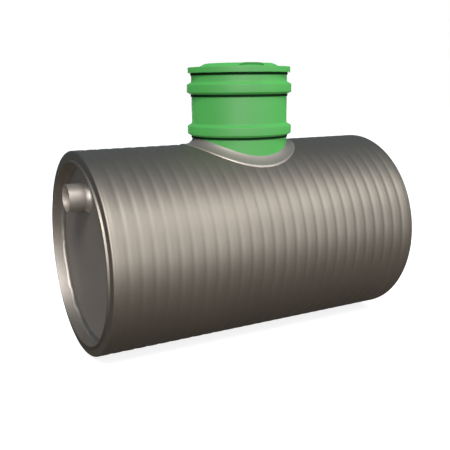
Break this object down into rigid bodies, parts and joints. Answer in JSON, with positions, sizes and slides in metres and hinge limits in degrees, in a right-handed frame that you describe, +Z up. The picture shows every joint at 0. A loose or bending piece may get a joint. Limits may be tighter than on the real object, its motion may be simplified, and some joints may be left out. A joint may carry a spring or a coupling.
{
  "type": "cesspool tank",
  "caption": "Lying round plastic holding tank with recessed end plates, an inlet stub in one end and a socketed manhole turret closed by a lift-off lid",
  "frame": {"origin": "on the floor, in the middle of the flat along the underside of the tank, at the middle of the wall's length", "axes": "X along the tank with the inlet end at -X, Y across it with the front at -Y, Z up"},
  "size_m": [1.956, 1.1198, 1.574],
  "materials": {
    "tank_plastic": "semi-matte extruded plastic, brown-grey",
    "end_plastic": "matte plastic sheet, dark grey-brown",
    "pipe_plastic": "matte plastic pipe, dark grey",
    "green_plastic": "smooth satin moulded plastic, green",
    "seal_rubber": "plain dark rubber"
  },
  "bodies": {
    "tank": {"shell_keel": "tank_plastic", "shell_bilge_back": "tank_plastic", "shell_flank_back": "tank_plastic", "shell_crown_back": "tank_plastic", "shell_crown_front": "tank_plastic", "shell_flank_front": "tank_plastic", "shell_bilge_front": "tank_plastic", "inlet_end_ring": "tank_plastic", "blind_end_ring": "tank_plastic", "inlet_end_plate": "end_plastic", "blind_end_plate": "end_plastic", "inlet_pipe": "pipe_plastic", "inlet_weld": "pipe_plastic", "riser_saddle": "tank_plastic", "riser_neck": "green_plastic", "lower_riser": "green_plastic", "upper_riser": "green_plastic", "lower_seal": "seal_rubber", "upper_seal": "seal_rubber", "lid_seal": "seal_rubber"},
    "lid": {"lid": "green_plastic"}
  },
  "joints": [
    {"name": "lid_lift", "type": "slide", "parent": "tank", "child": "lid", "axis": [0, 0, 1], "range_m": [0, 0.35]}
  ]
}
